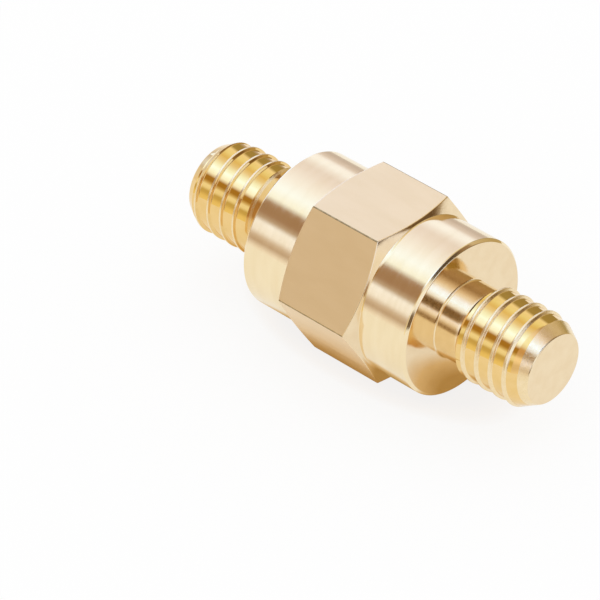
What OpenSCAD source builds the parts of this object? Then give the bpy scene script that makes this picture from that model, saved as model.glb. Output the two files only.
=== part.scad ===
// Battery terminal stud: one turned brass piece with a wrench hex between two collars
// and a threaded stud on each end. It lies on one hex flat, with its axis along X.

/* [Wrench hex] */
// Size of the hex across its flats
hex_af = 14; // [12:0.5:18]
// Length of the hex along the middle of a flat
hex_len = 7.7; // [5:0.1:10]
// How much shorter each end of the hex is at its corners than at mid flat
hex_corner_drop = 0.43; // [0.2:0.01:0.8]

/* [Collars] */
// Diameter of the round collars beside the hex
collar_d = 13.5; // [11.5:0.1:13.9]
// Length over the outer faces of both collars
body_len = 17.4; // [14:0.1:24]
// Chamfer on the outer rim of each collar
rim_chamfer = 0.22; // [0.1:0.01:0.6]

/* [Studs] */
// Length of each stud from its collar face to its tip
stud_len = 9.4; // [7:0.1:16]
// Diameter of the plain neck next to the collar
neck_d = 6.6; // [5:0.1:6.6]
// Length of the plain neck before it widens into the thread
neck_len = 2.2; // [1:0.1:3]
// Diameter of the flat end face of each stud
tip_d = 6; // [4:0.1:7]
// Length of the lead-in chamfer at each tip
tip_chamfer_len = 1.65; // [0.8:0.05:2.5]

/* [Thread] */
// Diameter over the thread crests, 5/16 inch
thread_d = 7.94; // [7.5:0.01:8.5]
// Distance from crest to crest, 18 to the inch
thread_pitch = 1.411; // [1:0.001:1.6]
// Diameter at the bottom of the thread groove
root_d = 6.75; // [6.7:0.05:7.4]
// Width of the flat along the thread crest
crest_w = 0.14; // [0.1:0.01:0.35]
// Angle at which the right thread groove starts, from the back towards the top
right_start_angle = 54; // [0:1:360]
// Angle at which the left thread groove starts, seen the same way after a half turn
left_start_angle = 141; // [0:1:360]

/* [Hidden] */

// Smoothness of the turned faces
round_fn = 96;
// Steps in one turn of the thread groove
turn_steps = 30;
// Clearance of every cut past the face that it cuts
overrun = 0.1;
// Angle of each thread flank from square to the axis
flank_angle = 30;
// Colour of bright brass
brass_color = [0.87, 0.72, 0.45];

hex_sides = 6;
apothem = hex_af / 2;
corner_r = apothem / cos(180 / hex_sides);
collar_r = collar_d / 2;
neck_r = neck_d / 2;
tip_r = tip_d / 2;
thread_r = thread_d / 2;
root_r = root_d / 2;
half_body = body_len / 2;
half_len = half_body + stud_len;
half_hex = hex_len / 2;

// Distance from the middle at which the cone that trims the hex corners has radius r
function hex_end(r) = half_hex + hex_corner_drop * (apothem - r) / (corner_r - apothem);

// Half of the turned outline as [radius, distance], from the collar rim to the stud tip
half_outline = [
    [collar_r, half_body - rim_chamfer],
    [collar_r - rim_chamfer, half_body],
    [neck_r, half_body],
    [neck_r, half_body + neck_len],
    [thread_r, half_body + neck_len + thread_r - neck_r],
    [thread_r, half_len - tip_chamfer_len],
    [tip_r, half_len],
    [0, half_len]
];
last_point = len(half_outline) - 1;

// Half width of the thread groove at radius r
function groove_half_w(r) = (thread_pitch - crest_w) / 2 + (r - thread_r) * tan(flank_angle);

// The groove's section as [distance, radius] about its middle
cut_r = thread_r + overrun;
groove_section = [
    [-groove_half_w(cut_r), cut_r],
    [-groove_half_w(root_r), root_r],
    [groove_half_w(root_r), root_r],
    [groove_half_w(cut_r), cut_r]
];
section_points = len(groove_section);

// The groove runs from the plain neck to past the tip
groove_start = half_body + groove_half_w(cut_r) + overrun;
groove_stop = half_len + groove_half_w(cut_r) + overrun;
groove_steps = ceil((groove_stop - groove_start) / thread_pitch * turn_steps);

// A profile of [radius, distance] points turned about the X axis
module turned(points) {
    rotate([0, 90, 0])
        rotate_extrude($fn = round_fn)
            polygon(points);
}

// Collars, necks and the blank for both threads, in one turned outline
module turned_blank() {
    mirrored_outline = [for (i = [last_point : -1 : 0]) [half_outline[i][0], -half_outline[i][1]]];
    turned(concat(mirrored_outline, half_outline));
}

// Hex bar with both ends trimmed to a shallow cone
module wrench_hex() {
    cone_r = corner_r + overrun;
    inner_r = collar_r - rim_chamfer;
    intersection() {
        rotate([0, 90, 0])
            rotate([0, 0, 180 / hex_sides])
                cylinder(r = corner_r, h = body_len, center = true, $fn = hex_sides);
        turned([
            [0, -hex_end(inner_r)],
            [inner_r, -hex_end(inner_r)],
            [cone_r, -hex_end(cone_r)],
            [cone_r, hex_end(cone_r)],
            [inner_r, hex_end(inner_r)],
            [0, hex_end(inner_r)]
        ]);
    }
}

// Right-hand helical groove that cuts the thread of the stud on +X
module thread_groove(start_angle) {
    points = [
        for (i = [0 : groove_steps])
            let (turns = i / turn_steps, angle = start_angle + turns * 360)
                for (p = groove_section)
                    [groove_start + turns * thread_pitch + p[0], p[1] * cos(angle), p[1] * sin(angle)]
    ];
    last_ring = groove_steps * section_points;
    sides = [
        for (i = [0 : groove_steps - 1])
            for (k = [0 : section_points - 1])
                let (
                    a = i * section_points + k,
                    b = i * section_points + (k + 1) % section_points
                )
                    each [[a, a + section_points, b], [b, a + section_points, b + section_points]]
    ];
    first_cap = [for (k = [0 : section_points - 1]) k];
    last_cap = [for (k = [section_points - 1 : -1 : 0]) last_ring + k];
    polyhedron(points, concat([first_cap, last_cap], sides));
}

module terminal_stud() {
    color(brass_color)
        translate([0, 0, apothem])
            difference() {
                union() {
                    turned_blank();
                    wrench_hex();
                }
                thread_groove(right_start_angle);
                rotate([0, 0, 180])
                    thread_groove(left_start_angle);
            }
}

terminal_stud();
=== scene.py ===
"""Battery terminal stud in bright turned brass, lying on a white table in a light tent."""

import math
from collections import namedtuple

import bmesh
import bpy
from mathutils import Matrix, Vector


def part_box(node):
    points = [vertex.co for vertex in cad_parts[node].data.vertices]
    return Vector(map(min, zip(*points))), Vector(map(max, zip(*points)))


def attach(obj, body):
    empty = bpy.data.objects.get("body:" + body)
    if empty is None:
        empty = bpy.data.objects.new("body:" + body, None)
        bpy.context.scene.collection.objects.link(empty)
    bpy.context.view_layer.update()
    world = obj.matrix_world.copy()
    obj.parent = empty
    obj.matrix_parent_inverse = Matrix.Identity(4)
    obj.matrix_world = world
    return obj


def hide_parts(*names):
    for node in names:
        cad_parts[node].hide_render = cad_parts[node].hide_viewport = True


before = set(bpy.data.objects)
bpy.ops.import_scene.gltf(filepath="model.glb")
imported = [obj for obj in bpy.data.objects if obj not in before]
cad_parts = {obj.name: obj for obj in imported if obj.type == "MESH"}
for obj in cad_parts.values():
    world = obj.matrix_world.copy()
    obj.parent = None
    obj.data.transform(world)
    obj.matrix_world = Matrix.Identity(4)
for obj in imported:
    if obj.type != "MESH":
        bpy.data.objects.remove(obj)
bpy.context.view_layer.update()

MM = 0.001
NODE = "terminal_stud"

# Sizes read from the frame
node_low, node_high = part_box(NODE)
HALF_LEN = (node_high.x - node_low.x) / 2
APOTHEM = (node_high.z - node_low.z) / 2
AXIS = Vector((0, 0, node_low.z + APOTHEM))

# Hex, with the sizes of the part's source and small edge rounding
HEX_SIDES = 6
SIXTH = math.tau / HEX_SIDES
HALF_HEX = 7.7 / 2 * MM
HEX_CORNER_DROP = 0.43 * MM
CORNER_R = APOTHEM / math.cos(SIXTH / 2)
CORNER_ROUND = 0.14 * MM
HEX_EDGE = 0.06 * MM

# Centre of the rounding of each long hex corner, and how far about the axis it reaches
ROUND_CENTRE = (APOTHEM - CORNER_ROUND) / math.cos(SIXTH / 2)
ROUND_REACH = math.atan2(
    CORNER_ROUND * math.sin(SIXTH / 2),
    ROUND_CENTRE + CORNER_ROUND * math.cos(SIXTH / 2),
)

# Collars and necks
COLLAR_R = 13.5 / 2 * MM
HALF_BODY = 17.4 / 2 * MM
RIM_CHAMFER = 0.22 * MM
RIM_EDGE = 0.05 * MM
SEAM_ROUND = 0.03 * MM
NECK_R = 6.6 / 2 * MM
NECK_END = HALF_BODY + 2.2 * MM
NECK_FILLET = 0.12 * MM

# Thread, 5/16 inch with 18 to the inch, whose shallow groove has a floor that leans towards +X
THREAD_R = 7.94 / 2 * MM
GROOVE_DEPTH = 0.22 * MM
FLOOR_LEAN = math.radians(8)
PITCH = 1.411 * MM
CREST_W = 0.17 * MM
CREST_EDGE = 0.03 * MM
ROOT_FILLET = 0.05 * MM
FLANK_ANGLE = math.radians(30)

# Material slots of the one mesh; the EDGE slot paints a dark reflection along the hex's rounded corners
HEX, EDGE, COLLAR, FACE, THREAD, CHAMFER = range(6)

# Where a crest crosses the top of each stud, whether its groove deepens outwards, its tip,
# and the slot of the tip's chamfer and of the flanks that face it
End = namedtuple("End", "crest_at_top deep_last tip_r chamfer_len tip_edge chamfer_slot")
RIGHT = End(
    crest_at_top=11.749 * MM,
    deep_last=True,
    tip_r=6.0 / 2 * MM,
    chamfer_len=1.65 * MM,
    tip_edge=0.10 * MM,
    chamfer_slot=CHAMFER,
)
LEFT = End(
    crest_at_top=11.409 * MM,
    deep_last=False,
    tip_r=6.4 / 2 * MM,
    chamfer_len=1.35 * MM,
    tip_edge=0.15 * MM,
    # The left tip's chamfer takes the thread's gold, deepened as painted bounce light
    chamfer_slot=THREAD,
)

# Columns of the mesh, in degrees from a corner of the hex towards the middle of a flat
CORNER_COLUMNS = [0.0, 0.15, 0.3, 0.45, 0.65, 0.9, 1.4]
COLUMN_STEP = 2.4
EVEN_COLUMNS = 11

# Rows of the mesh: those in a rounded corner, the most of an edge that a rounding takes up,
# how many roundings from the corner the rows that hold it lie, and the rings in a tip's face
ROUND_STEPS = 4
ROUND_MOST_SHARE = 0.3
HOLD_SHARE = 1.5
TIP_RING_SHARES = (0.6, 0.3)

# Turns of the thread that are laid out past each end and then cut off there
SPARE_TURNS = 2

# Points closer than this become one, and edges sharper than this stay sharp
WELD = 0.0005 * MM
SHARP_ANGLE = math.radians(35)


# Shape

def column_angles():
    """Angles around the axis, close together at the six corners of the hex."""
    side = 360 / HEX_SIDES
    half = CORNER_COLUMNS + [COLUMN_STEP * (i + 1) for i in range(EVEN_COLUMNS)]
    sector = half + [side / 2] + [side - a for a in reversed(half[1:])]
    return [math.radians(side * k + a) for k in range(HEX_SIDES) for a in sector]


def off_corner(angle):
    """Angle from the nearest corner of the hex."""
    return abs((angle + SIXTH / 2) % SIXTH - SIXTH / 2)


def hex_radius(angle):
    """Radius of the hex bar at an angle, with its long corners slightly rounded."""
    off = off_corner(angle)
    if off < ROUND_REACH:
        across = ROUND_CENTRE * math.sin(off)
        return ROUND_CENTRE * math.cos(off) + math.sqrt(CORNER_ROUND ** 2 - across ** 2)
    return APOTHEM / math.cos(SIXTH / 2 - off)


def hex_end(radius):
    """Distance from the middle of the cone that trims the hex corners, at a radius."""
    return HALF_HEX + HEX_CORNER_DROP * (APOTHEM - radius) / (CORNER_R - APOTHEM)


def rounded(points):
    """Outline of (x, r, rounding, slot) corners, each rounded and held by a row on each side."""
    out = []
    for i, (x, r, size, slot) in enumerate(points):
        corner = Vector((x, r))
        if size == 0 or i == 0 or i == len(points) - 1:
            out.append((x, r, slot))
            continue
        slot_before = points[i - 1][3]
        before = Vector(points[i - 1][:2]) - corner
        after = Vector(points[i + 1][:2]) - corner
        size_in = min(size, before.length * ROUND_MOST_SHARE)
        size_out = min(size, after.length * ROUND_MOST_SHARE)
        start = corner + before.normalized() * size_in
        stop = corner + after.normalized() * size_out
        hold_in = corner + before.normalized() * size_in * HOLD_SHARE
        hold_out = corner + after.normalized() * size_out * HOLD_SHARE
        out.append((*hold_in, slot_before))
        for k in range(ROUND_STEPS + 1):
            t = k / ROUND_STEPS
            point = start * (1 - t) ** 2 + corner * 2 * t * (1 - t) + stop * t ** 2
            out.append((*point, slot_before if t < 0.5 else slot))
        out.append((*hold_out, slot))
    return out


def body_column(angle):
    """Half outline at one angle, from the middle of the hex to the end of the neck."""
    bar_r = hex_radius(angle)
    return rounded([
        (0, bar_r, 0, HEX),
        (hex_end(bar_r), bar_r, HEX_EDGE, FACE),
        (hex_end(COLLAR_R), COLLAR_R, SEAM_ROUND, COLLAR),
        (HALF_BODY - RIM_CHAMFER, COLLAR_R, RIM_EDGE, COLLAR),
        (HALF_BODY, COLLAR_R - RIM_CHAMFER, RIM_EDGE, FACE),
        (HALF_BODY, NECK_R, NECK_FILLET, COLLAR),
        (NECK_END, NECK_R, 0, THREAD),
    ])


def thread_rows(end):
    """One pitch of the thread as (distance from the crest, radius, slot), from crest to crest."""
    spread, lean = math.tan(FLANK_ANGLE), math.tan(FLOOR_LEAN)
    floor_w = (PITCH - CREST_W - 2 * GROOVE_DEPTH * spread) / (1 + spread * lean)
    depths = [GROOVE_DEPTH, GROOVE_DEPTH + floor_w * lean]
    first, last = depths if end.deep_last else reversed(depths)
    outline = rounded([
        (0, THREAD_R, 0, CHAMFER),
        (CREST_W / 2, THREAD_R, CREST_EDGE, end.chamfer_slot),
        (CREST_W / 2 + first * spread, THREAD_R - first, ROOT_FILLET, THREAD),
        (PITCH - CREST_W / 2 - last * spread, THREAD_R - last, ROOT_FILLET, THREAD),
        (PITCH - CREST_W / 2, THREAD_R, CREST_EDGE, CHAMFER),
        (PITCH, THREAD_R, 0, CHAMFER),
    ])
    return outline[:-1]


def tip_outline(end):
    """Points from the chamfer over the rounded edge of the tip to the rings in its flat face."""
    rings = [(HALF_LEN, end.tip_r * share, 0, FACE) for share in TIP_RING_SHARES]
    return rounded([
        (HALF_LEN - end.chamfer_len, THREAD_R, 0, end.chamfer_slot),
        (HALF_LEN, end.tip_r, end.tip_edge, FACE),
        *rings,
    ])[1:]


def blank_radius(x, end):
    """Radius of the stud before its thread is cut: the widening after the neck and the tip chamfer."""
    chamfer_share = (HALF_LEN - x) / end.chamfer_len
    return min(THREAD_R, NECK_R + (x - NECK_END), end.tip_r + (THREAD_R - end.tip_r) * chamfer_share)


def thread_column(angle, end, pitch_rows, stop):
    """Points (x, r, slot) along the thread at one angle, one row for every step of every turn."""
    climb = PITCH * (math.degrees(angle) - 90) / 360
    first_turn = math.floor((NECK_END - end.crest_at_top) / PITCH) - SPARE_TURNS
    last_turn = math.ceil((HALF_LEN - end.crest_at_top) / PITCH) + SPARE_TURNS
    raw = []
    for turn_number in range(first_turn, last_turn):
        start = end.crest_at_top + climb + turn_number * PITCH
        raw += [(start + along, r, slot) for along, r, slot in pitch_rows]
    # Where the groove runs out into the blank, the nearer row moves onto the edge
    for i in range(len(raw) - 1):
        (x0, r0, slot0), (x1, r1, slot1) = raw[i], raw[i + 1]
        over0 = r0 - blank_radius(x0, end)
        over1 = r1 - blank_radius(x1, end)
        if over0 * over1 < 0:
            t = over0 / (over0 - over1)
            x = x0 + (x1 - x0) * t
            if t < 0.5:
                raw[i] = (x, blank_radius(x, end), slot0)
            else:
                raw[i + 1] = (x, blank_radius(x, end), slot1)
    column = []
    for x, r, slot in raw:
        x = min(max(x, NECK_END), stop)
        blank = blank_radius(x, end)
        cut_back = blank < r and x > HALF_LEN - end.chamfer_len
        column.append((x, min(r, blank), end.chamfer_slot if cut_back else slot))
    return column


def add_face(mesh, corners, slot):
    """Adds a smooth face to a bmesh, or none where its corners fall together."""
    corners = list(dict.fromkeys(corners))
    if len(corners) >= 3:
        face = mesh.faces.new(corners)
        face.material_index = slot
        face.smooth = True


def skin(mesh, columns, slot_at, wrap_shift=0):
    """Joins neighbouring columns of vertices, the last to the first some rows further on."""
    count = len(columns)
    top = len(columns[0]) - 1
    for j in range(count):
        n = (j + 1) % count
        shift = wrap_shift if n == 0 else 0
        for i in range(top):
            low = min(i + shift, top)
            high = min(i + 1 + shift, top)
            corners = (columns[j][i], columns[n][low], columns[n][high], columns[j][i + 1])
            add_face(mesh, corners, slot_at(j, i))


def half_stud(mesh, end, turn):
    """Adds one half of the part, from the middle of the hex to one tip, to a bmesh."""
    angles = column_angles()

    def vertex(x, r, angle):
        point = Vector((x, r * math.cos(angle), r * math.sin(angle)))
        return mesh.verts.new(AXIS + turn @ point)

    # Hex, collar and neck, with a painted dark reflection along the rounded corners of the hex
    body = [body_column(a) for a in angles]

    def body_slot(j, i):
        slot = body[j][i][2]
        middle = (angles[j] + angles[(j + 1) % len(angles)]) / 2
        # Faces on the hex's rounded corners take the EDGE slot, whose dark colour is a painted reflection
        return EDGE if slot == HEX and off_corner(middle) < ROUND_REACH else slot

    columns = [[vertex(x, r, a) for x, r, slot in points] for a, points in zip(angles, body)]
    skin(mesh, columns, body_slot)

    # Thread, in rows that climb one pitch in a turn and stop at the neck and the tip
    pitch_rows = thread_rows(end)
    tip_rows = tip_outline(end)
    thread = [thread_column(a, end, pitch_rows, tip_rows[0][0]) for a in angles]
    columns = []
    for a, points in zip(angles, thread):
        column = []
        for i, (x, r, slot) in enumerate(points):
            same = i > 0 and points[i - 1][:2] == (x, r)
            column.append(column[-1] if same else vertex(x, r, a))
        columns.append(column)
    skin(mesh, columns, lambda j, i: thread[j][i][2], len(pitch_rows))

    # Tip
    centre = vertex(HALF_LEN, 0, 0)
    columns = [[vertex(x, r, a) for x, r, slot in tip_rows] + [centre] for a in angles]
    skin(mesh, columns, lambda j, i: tip_rows[i][2])


def stud_mesh():
    """The whole part as one closed mesh."""
    mesh = bmesh.new()
    half_stud(mesh, RIGHT, Matrix.Identity(3))
    half_stud(mesh, LEFT, Matrix.Rotation(math.pi, 3, "Z"))
    bmesh.ops.remove_doubles(mesh, verts=mesh.verts, dist=WELD)
    bmesh.ops.dissolve_degenerate(mesh, edges=mesh.edges, dist=WELD)
    bmesh.ops.recalc_face_normals(mesh, faces=mesh.faces)
    data = bpy.data.meshes.new("stud")
    mesh.to_mesh(data)
    mesh.free()
    data.set_sharp_from_angle(angle=SHARP_ANGLE)
    return data


# Materials

# Detail of the noises, the part of their range that is used, and where a colour's two tones lie in it
NOISE_DETAIL = 3.0
RING_DETAIL = 2.0
NOISE_RANGE = (0.3, 0.7)
TONE_PLACES = (0.35, 0.65)
BUMP_STRENGTH = 0.5


class Finish:
    """A metal material being built: its node tree and short calls for the nodes that it uses."""

    def __init__(self, name):
        self.material = bpy.data.materials.new(name)
        self.material.use_nodes = True
        self.tree = self.material.node_tree
        self.shader = self.tree.nodes["Principled BSDF"]
        self.shader.inputs["Metallic"].default_value = 1.0
        self.place = self.node("ShaderNodeTexCoord").outputs["Object"]

    def node(self, kind, **values):
        """A new node, with some of its inputs set by name."""
        made = self.tree.nodes.new(kind)
        for name, value in values.items():
            made.inputs[name.replace("_", " ")].default_value = value
        return made

    def link(self, source, target):
        self.tree.links.new(source, target)

    def noise(self, size, stretch=(1, 1, 1)):
        """Noise with grains of a size in metres, drawn out along each axis by a stretch."""
        mapping = self.node("ShaderNodeMapping", Scale=[1 / (size * s) for s in stretch])
        texture = self.node("ShaderNodeTexNoise", Scale=1.0, Detail=NOISE_DETAIL)
        self.link(self.place, mapping.inputs["Vector"])
        self.link(mapping.outputs["Vector"], texture.inputs["Vector"])
        return texture.outputs["Fac"]

    def rings(self, size):
        """Noise that changes only with the distance from the part's axis."""
        centred = self.node("ShaderNodeMapping", Location=-AXIS, Scale=(0, 1, 1))
        radius = self.node("ShaderNodeVectorMath")
        radius.operation = "LENGTH"
        texture = self.node("ShaderNodeTexNoise", Scale=1 / size, Detail=RING_DETAIL)
        texture.noise_dimensions = "1D"
        self.link(self.place, centred.inputs["Vector"])
        self.link(centred.outputs["Vector"], radius.inputs[0])
        self.link(radius.outputs["Value"], texture.inputs["W"])
        return texture.outputs["Fac"]

    def spread(self, factor, low, high):
        """A noise factor mapped to a range."""
        first, last = NOISE_RANGE
        node = self.node("ShaderNodeMapRange", From_Min=first, From_Max=last, To_Min=low, To_Max=high)
        self.link(factor, node.inputs["Value"])
        return node.outputs["Result"]

    def tone(self, factor, deep, pale):
        """Base colour that wanders between two tones."""
        ramp = self.node("ShaderNodeValToRGB")
        for element, place, color in zip(ramp.color_ramp.elements, TONE_PLACES, (deep, pale)):
            element.position = place
            element.color = (*color, 1)
        self.link(factor, ramp.inputs["Fac"])
        self.link(ramp.outputs["Color"], self.shader.inputs["Base Color"])

    def roughness(self, factor, low, high):
        """Roughness that wanders between two values."""
        self.link(self.spread(factor, low, high), self.shader.inputs["Roughness"])

    def bump(self, height, depth):
        """Bump of a depth in metres, over any bump that the shader already has."""
        node = self.node("ShaderNodeBump", Strength=BUMP_STRENGTH, Distance=depth)
        normal = self.shader.inputs["Normal"]
        if normal.is_linked:
            self.link(normal.links[0].from_socket, node.inputs["Normal"])
        self.link(height, node.inputs["Height"])
        self.link(node.outputs["Normal"], normal)


def drawn_flats():
    """Satin flats of drawn bar, with faint lines along it."""
    finish = Finish("brass_drawn_flats")
    finish.tone(
        finish.noise(size=1.6 * MM, stretch=(3, 1, 1)),
        deep=(0.885, 0.68, 0.415),
        pale=(0.915, 0.71, 0.445),
    )
    finish.roughness(finish.noise(size=0.5 * MM, stretch=(4, 1, 1)), low=0.34, high=0.42)
    finish.bump(finish.noise(size=0.12 * MM, stretch=(12, 1, 1)), depth=0.001 * MM)
    return finish.material


def painted_dark_edges():
    """Long edges of the hex, darker than its flats: a painted dark reflection along each rounded corner."""
    finish = Finish("brass_dull_edges")
    finish.tone(finish.noise(size=0.5 * MM), deep=(0.34, 0.24, 0.11), pale=(0.50, 0.37, 0.19))
    finish.roughness(finish.noise(size=0.3 * MM), low=0.35, high=0.50)
    return finish.material


def turned_collar():
    """Collars and necks of bright turned brass, with fine rings around the axis and a slight grain."""
    finish = Finish("brass_turned_collar")
    finish.tone(
        finish.noise(size=0.9 * MM, stretch=(1, 4, 4)),
        deep=(0.92, 0.755, 0.475),
        pale=(0.945, 0.79, 0.515),
    )
    finish.roughness(finish.noise(size=0.25 * MM, stretch=(1, 6, 6)), low=0.08, high=0.14)
    finish.bump(finish.noise(size=0.09 * MM, stretch=(1, 40, 40)), depth=0.0008 * MM)
    finish.bump(finish.noise(size=0.12 * MM), depth=0.0012 * MM)
    return finish.material


def faced_ends():
    """End faces of the collars and tips and the cones that trim the hex, with fine rings about the axis."""
    finish = Finish("brass_faced_ends")
    finish.tone(finish.noise(size=1.2 * MM), deep=(0.865, 0.69, 0.445), pale=(0.895, 0.73, 0.485))
    finish.roughness(finish.noise(size=0.4 * MM), low=0.08, high=0.13)
    finish.bump(finish.rings(size=0.08 * MM), depth=0.0006 * MM)
    return finish.material


def cut_thread_painted_bounce():
    """Glossy thread of a deeper gold: the brass colour deepened to paint in light bouncing between the
    thread's flanks.
    """
    finish = Finish("brass_cut_thread")
    finish.tone(finish.noise(size=0.8 * MM), deep=(0.86, 0.595, 0.235), pale=(0.89, 0.625, 0.265))
    finish.roughness(finish.noise(size=0.3 * MM), low=0.04, high=0.07)
    finish.bump(finish.noise(size=0.08 * MM, stretch=(1, 25, 25)), depth=0.0005 * MM)
    return finish.material


def turned_chamfer():
    """Pale brass with a slight chatter, on the right tip's chamfer and along the thread's crests."""
    finish = Finish("brass_turned_chamfer")
    finish.tone(finish.noise(size=0.5 * MM), deep=(0.905, 0.72, 0.42), pale=(0.935, 0.76, 0.48))
    finish.roughness(finish.noise(size=0.2 * MM), low=0.18, high=0.28)
    finish.bump(finish.noise(size=0.14 * MM), depth=0.006 * MM)
    return finish.material


def build_stud():
    """The part as one piece, with one material for each slot of its mesh."""
    piece = bpy.data.objects.new("stud", stud_mesh())
    bpy.context.scene.collection.objects.link(piece)
    for finish in (drawn_flats, painted_dark_edges, turned_collar, faced_ends, cut_thread_painted_bounce, turned_chamfer):
        piece.data.materials.append(finish())
    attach(piece, "root")
    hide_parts(NODE)


# Studio

FLOOR_HALF = 60 * MM
FLOOR_ROUGHNESS = 0.9
# How much of the floor's look is its own light, white for rays from the camera, and for mirrored ones in
# the floor's colours with their painted warm shadow
CAMERA_LIFT = {"Is Camera Ray": 0.85}
MIRROR_LIFT = {"Is Glossy Ray": 0.75, "Is Transmission Ray": 0.75}
# Half length and half width of the painted warm shadow and bounce light around the part
PAINTED_SHADOW_REACH = (15.5 * MM, 6.7 * MM)
# Floor colours, from white at the edge of the painted warm shadow to its darkest near the middle of the
# part, a painted shadow warmed by painted bounce light from the brass
FLOOR_PAINTED_SHADOW_TONES = [
    (0.08, (0.97, 0.97, 0.97)),
    (0.20, (0.78, 0.58, 0.32)),
    (0.33, (0.54, 0.35, 0.13)),
]


def floor_with_painted_shadow(nodes, links):
    """White, with a painted warm shadow and bounce light from the brass around the part."""
    coords = nodes.new("ShaderNodeTexCoord")
    reach = nodes.new("ShaderNodeMapping")
    reach.inputs["Scale"].default_value = (1 / PAINTED_SHADOW_REACH[0], 1 / PAINTED_SHADOW_REACH[1], 1)
    painted_shadow_falloff = nodes.new("ShaderNodeTexGradient")
    painted_shadow_falloff.gradient_type = "SPHERICAL"
    tone = nodes.new("ShaderNodeValToRGB")
    tone.color_ramp.elements.new(0.5)
    for element, (place, color) in zip(tone.color_ramp.elements, FLOOR_PAINTED_SHADOW_TONES):
        element.position = place
        element.color = (*color, 1)
    links.new(coords.outputs["Object"], reach.inputs["Vector"])
    links.new(reach.outputs["Vector"], painted_shadow_falloff.inputs["Vector"])
    links.new(painted_shadow_falloff.outputs["Fac"], tone.inputs["Fac"])
    return tone.outputs["Color"]


def white_table():
    """Matt white that keeps the part's soft shadow, with a painted warm shadow around the part."""
    material = bpy.data.materials.new("white_table")
    material.use_nodes = True
    nodes, links = material.node_tree.nodes, material.node_tree.links
    color = floor_with_painted_shadow(nodes, links)
    shader = nodes["Principled BSDF"]
    shader.inputs["Roughness"].default_value = FLOOR_ROUGHNESS
    shader.inputs["Specular IOR Level"].default_value = 0.0
    links.new(color, shader.inputs["Base Color"])
    path = nodes.new("ShaderNodeLightPath")

    def lifted(surface, lifts, light_color=None):
        """The surface, mixed for some kinds of ray with its own light, white or in a given colour."""
        light = nodes.new("ShaderNodeEmission")
        if light_color:
            links.new(light_color, light.inputs["Color"])
        lift = None
        for kind, share in lifts.items():
            part = nodes.new("ShaderNodeMath")
            part.operation = "MULTIPLY_ADD"
            part.inputs[1].default_value = share
            part.inputs[2].default_value = 0.0
            links.new(path.outputs[kind], part.inputs[0])
            if lift:
                links.new(lift, part.inputs[2])
            lift = part.outputs["Value"]
        mix = nodes.new("ShaderNodeMixShader")
        links.new(lift, mix.inputs["Fac"])
        links.new(surface, mix.inputs[1])
        links.new(light.outputs["Emission"], mix.inputs[2])
        return mix.outputs["Shader"]

    # Mirrored rays see the floor's own light in the colours of its painted warm shadow, so the metal
    # reflects that painted shadow
    surface = lifted(shader.outputs["BSDF"], MIRROR_LIFT, color)
    surface = lifted(surface, CAMERA_LIFT)
    links.new(surface, nodes["Material Output"].inputs["Surface"])
    return material


def build_floor():
    """Flat table top under the part."""
    side = FLOOR_HALF
    corners = [(-side, -side, 0), (side, -side, 0), (side, side, 0), (-side, side, 0)]
    data = bpy.data.meshes.new("table_top")
    data.from_pydata(corners, [], [(0, 1, 2, 3)])
    data.materials.append(white_table())
    floor = bpy.data.objects.new("table_top", data)
    bpy.context.scene.collection.objects.link(floor)


# The tent's panels and gaps, as (degrees up from the front, colour), from its left to its right end.
# Where green and blue go over 1, the highlights on the gold metal come out near white
FAR_LEFT_PANELS = [
    (-8, (0.90, 0.84, 0.78)),
    (1, (0.52, 0.37, 0.24)),
    (12, (0.52, 0.37, 0.24)),
    (30, (0.50, 0.36, 0.24)),
    (52, (0.45, 0.32, 0.22)),
    (64, (1.02, 1.20, 1.75)),
    (133, (1.10, 1.48, 2.60)),
    (165, (1.10, 1.48, 2.60)),
    (180, (0.70, 0.70, 0.80)),
    (195, (0.85, 0.84, 0.86)),
]
NEAR_LEFT_PANELS = [
    (-8, (0.94, 0.89, 0.88)),
    (1, (0.54, 0.41, 0.33)),
    (8, (0.66, 0.55, 0.49)),
    (15, (1.00, 1.02, 1.16)),
    (27, (1.04, 1.10, 1.32)),
    (33, (0.52, 0.41, 0.34)),
    (40, (0.38, 0.24, 0.16)),
    (50, (0.37, 0.23, 0.14)),
    (56, (0.40, 0.26, 0.18)),
    (64, (1.04, 1.14, 1.25)),
    (80, (1.06, 1.24, 1.60)),
    (97, (1.02, 1.09, 1.33)),
    (121, (0.91, 0.89, 1.05)),
    (133, (0.87, 0.84, 0.98)),
    (152, (1.05, 1.14, 1.42)),
    (161, (1.05, 1.12, 1.38)),
    (170, (0.77, 0.71, 0.77)),
    (184, (0.60, 0.53, 0.53)),
    (197, (0.69, 0.65, 0.65)),
]
MIDDLE_PANELS = [
    (-8, (0.95, 0.86, 0.50)),
    (1, (0.90, 0.78, 0.40)),
    (9, (0.68, 0.56, 0.25)),
    (15, (0.64, 0.53, 0.23)),
    (21, (0.96, 0.96, 0.80)),
    (28, (1.00, 1.02, 0.90)),
    (34, (0.66, 0.52, 0.26)),
    (39, (0.43, 0.25, 0.05)),
    (48, (0.43, 0.25, 0.05)),
    (53, (0.86, 0.90, 1.10)),
    (58, (1.12, 1.40, 2.00)),
    (72, (1.18, 1.70, 2.90)),
    (84, (1.08, 1.38, 1.85)),
    (97, (0.94, 0.92, 0.82)),
    (109, (0.86, 0.74, 0.40)),
    (124, (0.96, 0.98, 0.70)),
    (139, (1.02, 1.00, 0.86)),
    (149, (0.42, 0.35, 0.15)),
    (180, (0.38, 0.30, 0.12)),
]
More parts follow.
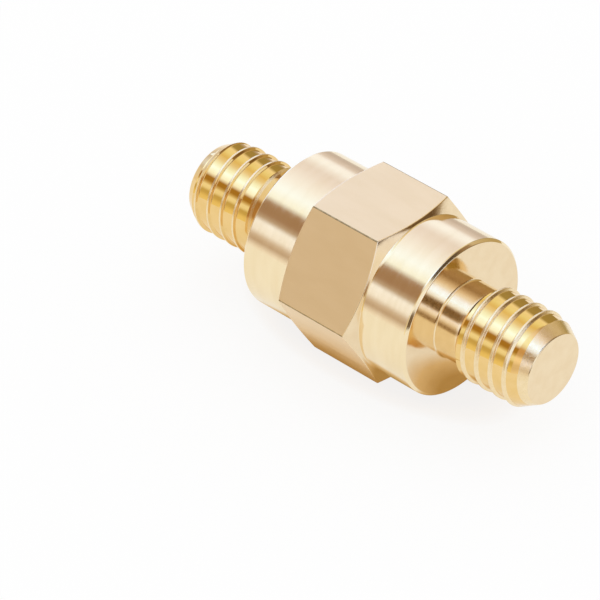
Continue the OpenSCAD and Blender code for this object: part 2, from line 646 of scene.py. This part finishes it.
NEAR_RIGHT_PANELS = [
    (-8, (0.95, 0.88, 0.80)),
    (3, (0.80, 0.70, 0.60)),
    (12, (0.82, 0.72, 0.62)),
    (22, (1.06, 0.98, 0.94)),
    (29, (1.06, 0.97, 0.92)),
    (36, (0.70, 0.55, 0.42)),
    (44, (0.66, 0.45, 0.27)),
    (51, (0.68, 0.47, 0.28)),
    (58, (0.92, 0.95, 1.00)),
    (66, (1.08, 1.28, 1.45)),
    (80, (1.08, 1.28, 1.45)),
    (92, (1.00, 1.00, 1.15)),
    (104, (0.88, 0.78, 0.75)),
    (118, (0.58, 0.46, 0.36)),
    (134, (0.60, 0.49, 0.33)),
    (150, (0.68, 0.57, 0.40)),
    (168, (0.58, 0.46, 0.26)),
    (180, (0.52, 0.40, 0.20)),
]
FAR_RIGHT_PANELS = [
    (-8, (0.95, 0.90, 0.86)),
    (-3, (0.24, 0.15, 0.06)),
    (4, (0.20, 0.12, 0.05)),
    (11, (0.76, 0.74, 0.78)),
    (17, (1.10, 1.28, 1.90)),
    (25, (1.16, 1.45, 2.60)),
    (31, (0.20, 0.12, 0.07)),
    (36, (0.03, 0.01, 0.00)),
    (52, (0.03, 0.01, 0.00)),
    (56, (0.50, 0.50, 0.65)),
    (62, (1.12, 1.45, 2.60)),
    (74, (1.25, 2.00, 4.60)),
    (86, (1.22, 1.78, 3.90)),
    (97, (1.10, 1.32, 1.95)),
    (109, (0.92, 0.90, 0.98)),
    (121, (0.62, 0.52, 0.45)),
    (133, (0.30, 0.19, 0.11)),
    (155, (0.38, 0.25, 0.15)),
    (173, (0.40, 0.29, 0.16)),
]
END_PANELS = [
    (10, (0.18, 0.12, 0.07)),
    (19, (0.95, 0.93, 0.90)),
    (70, (1.00, 1.00, 1.00)),
    (82, (0.10, 0.07, 0.04)),
    (132, (0.10, 0.07, 0.04)),
    (148, (0.40, 0.28, 0.13)),
    (165, (0.22, 0.14, 0.06)),
    (180, (0.15, 0.09, 0.04)),
]
END_CARD_PANELS = [
    (4, (0.42, 0.30, 0.18)),
    (16, (1.03, 1.12, 1.40)),
    (85, (1.03, 1.12, 1.30)),
    (100, (1.02, 1.14, 1.50)),
    (158, (1.02, 1.12, 1.45)),
    (168, (0.40, 0.30, 0.20)),
    (174, (0.22, 0.14, 0.06)),
    (180, (0.15, 0.09, 0.04)),
]
END_MIDDLE = (1.00, 1.10, 1.40)
PANEL_LOW, PANEL_HIGH = -20, 200

# Where each stretch of the tent takes over from the one before, between two values of a direction's X
STRETCHES = [
    (-0.64, -0.59, NEAR_LEFT_PANELS),
    (-0.495, -0.46, MIDDLE_PANELS),
    (-0.08, 0.02, NEAR_RIGHT_PANELS),
    (0.49, 0.53, FAR_RIGHT_PANELS),
    (0.58, 0.68, END_PANELS),
    (0.835, 0.865, END_CARD_PANELS),
]
END_MIDDLE_START, END_MIDDLE_FULL = 0.955, 0.975


def build_world():
    """White light all round, with the tent's panels and gaps for what the metal mirrors."""
    world = bpy.data.worlds.new("light_tent")
    bpy.context.scene.world = world
    world.use_nodes = True
    nodes, links = world.node_tree.nodes, world.node_tree.links
    coords = nodes.new("ShaderNodeTexCoord")
    split = nodes.new("ShaderNodeSeparateXYZ")
    links.new(coords.outputs["Generated"], split.inputs["Vector"])

    # Angle about the X axis, from straight up towards the back
    angle = nodes.new("ShaderNodeMath")
    angle.operation = "ARCTAN2"
    links.new(split.outputs["Y"], angle.inputs[0])
    links.new(split.outputs["Z"], angle.inputs[1])
    place = nodes.new("ShaderNodeMapRange")
    place.inputs["From Min"].default_value = math.radians(PANEL_LOW - 90)
    place.inputs["From Max"].default_value = math.radians(PANEL_HIGH - 90)
    links.new(angle.outputs["Value"], place.inputs["Value"])

    def panels(stops):
        """Colour of one stretch of the tent, by the angle about the X axis."""
        ramp = nodes.new("ShaderNodeValToRGB")
        elements = ramp.color_ramp.elements
        while len(elements) < len(stops):
            elements.new(0.5)
        for element, (degrees, color) in zip(elements, stops):
            element.position = (degrees - PANEL_LOW) / (PANEL_HIGH - PANEL_LOW)
            element.color = (*color, 1)
        links.new(place.outputs["Result"], ramp.inputs["Fac"])
        return ramp.outputs["Color"]

    def mixed(factor, first, second):
        """Two colours mixed, each a socket or a plain colour."""
        mix = nodes.new("ShaderNodeMix")
        mix.data_type = "RGBA"
        colors = [s for s in mix.inputs if s.type == "RGBA"]
        links.new(factor, mix.inputs["Factor"])
        for color, source in zip(colors, (first, second)):
            if isinstance(source, tuple):
                color.default_value = (*source, 1)
            else:
                links.new(source, color)
        return [s for s in mix.outputs if s.type == "RGBA"][0]

    def beyond(low, high):
        """How far a direction lies to the right, from none at one X to all at another."""
        share = nodes.new("ShaderNodeMapRange")
        share.interpolation_type = "SMOOTHSTEP"
        share.inputs["From Min"].default_value = low
        share.inputs["From Max"].default_value = high
        links.new(split.outputs["X"], share.inputs["Value"])
        return share.outputs["Result"]

    tent = panels(FAR_LEFT_PANELS)
    for low, high, stops in STRETCHES:
        tent = mixed(beyond(low, high), tent, panels(stops))
    tent = mixed(beyond(END_MIDDLE_START, END_MIDDLE_FULL), tent, END_MIDDLE)
    path = nodes.new("ShaderNodeLightPath")
    color = mixed(path.outputs["Is Glossy Ray"], (1, 1, 1), tent)
    links.new(color, nodes["Background"].inputs["Color"])


# Camera, fitted to the photograph, with its lens and sensor in millimetres as Blender takes them

CAMERA_AZIMUTH = math.radians(44.01)
CAMERA_ELEVATION = math.radians(37.71)
CAMERA_ROLL = math.radians(-0.77)
CAMERA_DISTANCE = 370.3 * MM
CAMERA_LEFT = 6.348 * MM
CAMERA_DOWN = 2.180 * MM
CAMERA_LENS = 281.4
CAMERA_SENSOR = 36
CAMERA_NEAR = 10 * MM
CAMERA_FAR = 10


def build_camera():
    """Long lens that looks down on the part from its right front."""
    back = Vector((
        math.sin(CAMERA_AZIMUTH) * math.cos(CAMERA_ELEVATION),
        -math.cos(CAMERA_AZIMUTH) * math.cos(CAMERA_ELEVATION),
        math.sin(CAMERA_ELEVATION),
    ))
    level = Vector((math.cos(CAMERA_AZIMUTH), math.sin(CAMERA_AZIMUTH), 0))
    upright = back.cross(level)
    right = level * math.cos(CAMERA_ROLL) + upright * math.sin(CAMERA_ROLL)
    up = upright * math.cos(CAMERA_ROLL) - level * math.sin(CAMERA_ROLL)
    data = bpy.data.cameras.new("camera")
    data.sensor_width = CAMERA_SENSOR
    data.lens = CAMERA_LENS
    data.clip_start = CAMERA_NEAR
    data.clip_end = CAMERA_FAR
    camera = bpy.data.objects.new("camera", data)
    bpy.context.scene.collection.objects.link(camera)
    place = AXIS + back * CAMERA_DISTANCE - right * CAMERA_LEFT - up * CAMERA_DOWN
    turn = Matrix((right, up, back)).transposed()
    camera.matrix_world = Matrix.Translation(place) @ turn.to_4x4()
    bpy.context.scene.camera = camera


build_camera()
build_floor()
build_world()
build_stud()

bpy.context.scene.view_settings.view_transform = "Standard"
